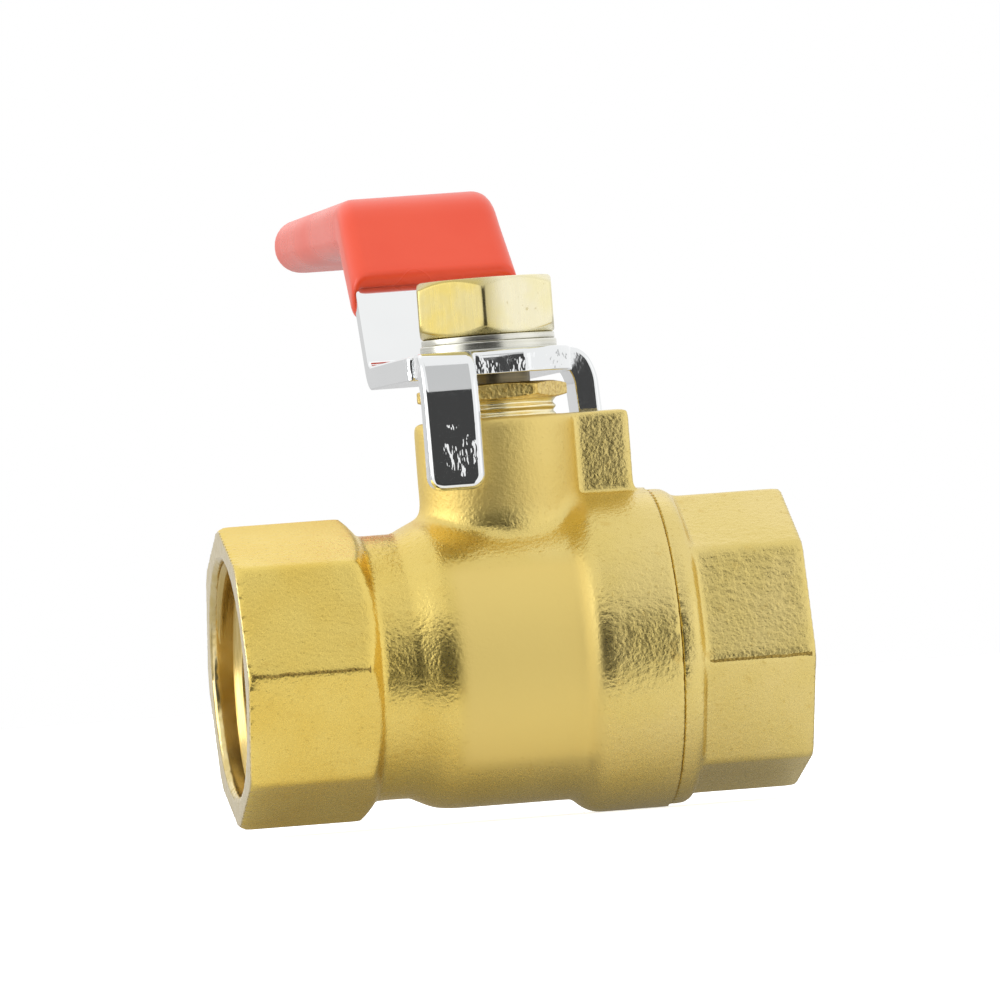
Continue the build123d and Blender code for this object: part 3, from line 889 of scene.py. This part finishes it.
def sleeve_stations(start, last, tip):
    """(length along the arm, share of full skin, width share, thickness share) from the lip to the tip."""
    lip = 0.9
    stations = []
    for i in range(9):
        a = math.pi / 2 * i / 8
        stations.append((start + lip * (1 - math.cos(a)), math.sin(a), 1.0, 1.0))
    straight = 80
    first = start + lip
    for i in range(1, straight + 1):
        stations.append((first + (last - first) * i / straight, 1.0, 1.0, 1.0))
    turns = 20
    for i in range(1, turns):
        a = math.pi / 2 * i / turns
        thick = 1 - 0.55 * (1 - math.cos(a)) ** 2
        stations.append((last + (tip - last) * math.sin(a), 1.0, math.cos(a), thick))
    return stations


def make_sleeve(mat):
    """The dipped grip: a skin that starts as a thin lip, with full round sides and a spoon-like tip."""
    over_steel = PLATE / 2 + SLEEVE_SKIN - 0.1
    under_steel = PLATE / 2 + SLEEVE_SKIN + 0.12
    _, rise, _ = ARM.at(ARM_RISER)
    lip_height = SLEEVE_START_Z - PLATE_MID - rise - (PLATE / 2 + SLEEVE_LIP) * math.cos(SLOPE)
    start = ARM_RISER + lip_height / math.sin(SLOPE)
    tip = SLEEVE_BOX[1].y / MM - REACH + ARM_END
    last = tip - GRIP_HALF - SLEEVE_SIDE
    bm = bmesh.new()
    rings = []
    for s, grown, wide, thick in sleeve_stations(start, last, tip):
        side = SLEEVE_LIP_SIDE + (SLEEVE_SIDE - SLEEVE_LIP_SIDE) * grown
        half = (arm_half(s) + side) * wide
        over = (PLATE / 2 + SLEEVE_LIP + (over_steel - PLATE / 2 - SLEEVE_LIP) * grown) * thick
        under = (PLATE / 2 + SLEEVE_LIP + (under_steel - PLATE / 2 - SLEEVE_LIP) * grown) * thick
        along = min(max((s - ARM_GRIP) / (last - ARM_GRIP), 0.0), 1.0)
        corner = min(0.8 + 0.9 * grown + 0.7 * along, (over + under) * 0.485, half * 0.97)
        near = max(1 - (s - start) / 7, 0.0)
        ring = sleeve_ring(s, half, over, under, corner, 0.20 + 0.22 * near, SLEEVE_SKEW * near)
        rings.append([bm.verts.new(co) for co in ring])
    skin_rings(bm, rings)
    bm.faces.new(rings[-1])
    inside = PLATE / 2 - 0.06
    steel = sleeve_ring(start + 0.1, arm_half(start) - 0.1, inside, inside, 0.3, 0.0, SLEEVE_SKEW)
    skin_rings(bm, [[bm.verts.new(co) for co in steel], rings[0]])
    bmesh.ops.recalc_face_normals(bm, faces=bm.faces)
    piece = place_mesh("sleeve_skin", bm, mat, "lever_and_ball")
    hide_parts("grip_sleeve")


# ---------------------------------------------------------------- pipe threads
def make_thread(name, face, inward, length, mat):
    """An internal pipe thread: one helical ridge standing in the plain bore."""
    turns = length / THREAD_PITCH
    steps = int(turns * 72)
    base = THREAD_R + 0.12
    section = (
        (-0.5, base), (-0.42, THREAD_R - 0.03), (-0.11, THREAD_CREST_R + 0.05), (-0.05, THREAD_CREST_R),
        (0.05, THREAD_CREST_R), (0.11, THREAD_CREST_R + 0.05), (0.42, THREAD_R - 0.03), (0.5, base),
    )
    bm = bmesh.new()
    rings = []
    for i in range(steps + 1):
        turn = i / steps * turns
        grown = min(turn / 0.5, (turns - turn) / 0.7, 1.0)
        angle = 2 * math.pi * turn
        ring = []
        for axial, radius in section:
            r = base - (base - radius) * grown
            x = face + inward * (THREAD_LEAD_IN + THREAD_PITCH * (turn + axial * 0.98))
            ring.append(bm.verts.new((x - STEM_X, r * math.cos(angle), r * math.sin(angle))))
        rings.append(ring)
    skin_rings(bm, rings)
    bm.faces.new(rings[0])
    bm.faces.new(rings[-1])
    bmesh.ops.recalc_face_normals(bm, faces=bm.faces)
    place_mesh(name, bm, mat, "housing")


# ---------------------------------------------------------------- forging flash
def make_flash(name, start, end, angle, ragged, seed, mat):
    """The parting line along an octagon edge, at an angle round the pipe in degrees; ragged is its size."""
    steps = int((end - start) / FLASH_STEP)
    turn = math.radians(angle)
    worn = 0.08
    section = ((-1.6, -0.5), (-0.9, 0.1), (-0.3, 0.9), (0.35, 0.8), (0.8, 0.1), (1.6, -0.5))
    bm = bmesh.new()
    rings = []
    for i in range(steps + 1):
        x = start + (end - start) * i / steps
        wander = 0.10 * noise.noise(Vector((x * 0.7, seed, 0)))
        wander += 0.05 * noise.noise(Vector((x * 4.1, seed, 5)))
        fade = min(1.0, 8 * i / steps, 8 * (1 - i / steps))
        torn = abs(noise.noise(Vector((x * 3.7, seed + 9, 0))))
        torn += 0.5 * noise.noise(Vector((x * 9, seed + 4, 0)))
        high = (0.06 + 0.16 * torn) * fade * ragged
        wide = (0.13 + 0.10 * noise.noise(Vector((x * 5.3, seed + 2, 0)))) * ragged
        ring = []
        for across, up in section:
            r = OCT_CORNER_R - worn + up * high - abs(across * wide) * 0.38
            a = turn + (wander * ragged + across * wide) / OCT_CORNER_R
            ring.append(bm.verts.new((x - STEM_X, -r * math.sin(a), r * math.cos(a))))
        rings.append(ring)
    skin_rings(bm, rings)
    bm.faces.new(rings[0])
    bm.faces.new(rings[-1])
    bmesh.ops.recalc_face_normals(bm, faces=bm.faces)
    place_mesh(name, bm, mat, "housing")


def make_pieces():
    """Every piece that takes the place of a CAD shape, with the threads and flash added to them."""
    body_brass = forged_brass("forged_brass_body", 0.0, -1)
    cap_brass = forged_brass("forged_brass_cap", OUTLET_X, 1)
    make_casting("valve_body_forging", "valve_body", body_brass, 0.0, -1, True, body_roughness)
    make_casting("end_cap_forging", "end_cap", cap_brass, OUTLET_X, 1, False, cap_roughness)
    make_nuts(nut_brass("nut_brass"), gland_brass("gland_brass"))
    washer_mat = washer_steel("washer_steel")
    make_washer("flat_washer_ring", "flat_washer", STEM_R + 0.2, 6.1, 0, 0, washer_mat)
    make_washer("spring_washer", "lock_washer", STEM_R + 0.3, 5.95, 6, 0.04, washer_mat)
    make_lever(chrome_plate("plated_steel"))
    make_sleeve(red_vinyl("red_vinyl"))
    thread_brass = turned_brass("turned_brass")
    make_thread("inlet_thread_turns", 0.0, 1, INLET_THREAD, thread_brass)
    make_thread("outlet_thread_turns", OUTLET_X, -1, OUTLET_THREAD, thread_brass)
    flash = flash_brass("flash_brass")
    for side, angle in (("front", 90.0), ("back", 270.0)):
        make_flash(f"body_flash_{side}", *BODY_FLASH, angle, 1.5, 3.0 + angle, flash)
        make_flash(f"cap_flash_{side}", *CAP_FLASH, angle + CAP_TURN, 0.9, 5.0 + angle, flash)


# ---------------------------------------------------------------- stage
def make_world():
    """A white studio all round."""
    world = bpy.data.worlds.new("studio")
    scene.world = world
    world.use_nodes = True
    light = world.node_tree.nodes["Background"]
    light.inputs["Color"].default_value = rgb(1.0, 1.0, 1.0)
    light.inputs["Strength"].default_value = 1.0


def make_floor():
    """A floor, near white to the camera; reflections find it dark far ahead, dim beneath and behind with a
    painted shadow of the valve, and glowing faintly outside the dark part as painted light.
    """
    n = Nodes("pale_floor")
    seen = n.add("ShaderNodeLightPath").outputs["Is Camera Ray"]
    x, y, _ = n.axes()
    angle = n.math("ARCTAN2", x, n.math("MULTIPLY", y, -1.0))
    distance = n.math("SQRT", n.math("ADD", n.math("POWER", x, 2), n.math("POWER", y, 2)))
    ahead = n.between(angle, math.radians(DARK_AHEAD[0]), math.radians(DARK_AHEAD[1]), 0.05)
    dark = n.times(ahead, n.ramp(distance, *DARK_FROM))
    # behind: the valve's painted shadow on the floor, seen only in reflections
    behind = n.ramp(y, *DIM_FROM)
    speck = n.noise(60, 2)
    pale = n.mix(speck, rgb(0.90, 0.90, 0.90), rgb(0.93, 0.93, 0.93))
    mirrored = n.mix(behind, rgb(0.90, 0.90, 0.90), rgb(0.40, 0.40, 0.40))
    mirrored = n.mix(dark, mirrored, rgb(0.04, 0.04, 0.04))
    n.set(Base_Color=n.mix(seen, mirrored, pale), Roughness=0.9, Specular_IOR_Level=0.1)
    # lifted: painted light, a glow the floor gives only to reflections, strongest in the painted shadow
    lifted = n.mix_value(behind, n.mix_value(dark, 0.08, 0.0), 0.19)
    n.set(Emission_Color=rgb(1, 1, 1), Emission_Strength=n.mix_value(seen, lifted, 0.75))
    corners = [(-3, -3, 0), (3, -3, 0), (3, 3, 0), (-3, 3, 0)]
    place_stage("floor", corners, [(0, 1, 2, 3)], n.mat, (STEM.x, STEM.y, FLOOR_Z - 0.02 * MM))


def place_stage(name, verts, faces, mat, place):
    """Links a mesh that belongs to the stage and not to the valve."""
    mesh = bpy.data.meshes.new(name)
    mesh.from_pydata(verts, [], faces)
    mesh.materials.append(mat)
    obj = bpy.data.objects.new(name, mesh)
    obj.location = place
    scene.collection.objects.link(obj)
    return obj


def card_paint(name, shade):
    """An even grey that glows and reflects nothing."""
    n = Nodes(name)
    n.set(Base_Color=rgb(0, 0, 0), Roughness=1.0, Specular_IOR_Level=0.0)
    n.set(Emission_Color=rgb(1, 1, 1), Emission_Strength=shade)
    return n.mat


def hide_card(card, soft):
    """Cards show in reflections only; soft ones also dim the soft light."""
    card.visible_camera = False
    card.visible_shadow = False
    card.visible_diffuse = soft


def make_card(name, shade, azimuths, elevations, away, soft=False):
    """A curved card round the stem; degrees, azimuth from -Y towards +X."""
    across, up = 24, 12
    verts = []
    for j in range(up + 1):
        high = math.radians(elevations[0] + (elevations[1] - elevations[0]) * j / up)
        for i in range(across + 1):
            turn = math.radians(azimuths[0] + (azimuths[1] - azimuths[0]) * i / across)
            flat = math.cos(high)
            spot = Vector((math.sin(turn) * flat, -math.cos(turn) * flat, math.sin(high)))
            verts.append(spot * away)
    row = across + 1
    faces = [
        (j * row + i, j * row + i + 1, (j + 1) * row + i + 1, (j + 1) * row + i)
        for j in range(up) for i in range(across)
    ]
    hide_card(place_stage(name, verts, faces, card_paint(name, shade), STEM), soft)


def make_softbox(name, place, size, glow):
    """A soft lamp that adds glow to the white studio where reflections see it."""
    lamp = bpy.data.lights.new(name, "AREA")
    lamp.shape = "RECTANGLE"
    lamp.size, lamp.size_y = size
    lamp.energy = glow * math.pi * size[0] * size[1]
    obj = bpy.data.objects.new(name, lamp)
    obj.location = STEM + Vector(place)
    obj.rotation_mode = "QUATERNION"
    obj.rotation_quaternion = (STEM - obj.location).normalized().to_track_quat("-Z", "Y")
    obj.visible_camera = False
    scene.collection.objects.link(obj)


def make_stage():
    """White studio, floor, cards and lamps."""
    make_world()
    make_floor()
    make_card("dark_front", 0.06, DARK_AHEAD, (0, 26), 1.6)
    make_card("grey_strip", 0.64, (2, 17), (26, 84), 1.5)
    make_card("grey_back_left", 0.70, (-176, -112), (0, 14), 1.5, soft=True)
    make_softbox("overhead_back", (0.0, 0.75, 0.75), (0.9, 0.6), 0.15)
    make_softbox("left", (-0.9, -0.08, 0.25), (0.8, 0.8), 0.8)
    make_softbox("left_narrow", (-0.95, 0.13, 0.2), (0.4, 0.6), 1.3)
    make_softbox("right", (0.85, -0.45, 0.15), (0.5, 0.6), 0.15)
    scene.view_settings.view_transform = "Standard"


make_camera()
dress_cad_nodes()
make_pieces()
make_stage()
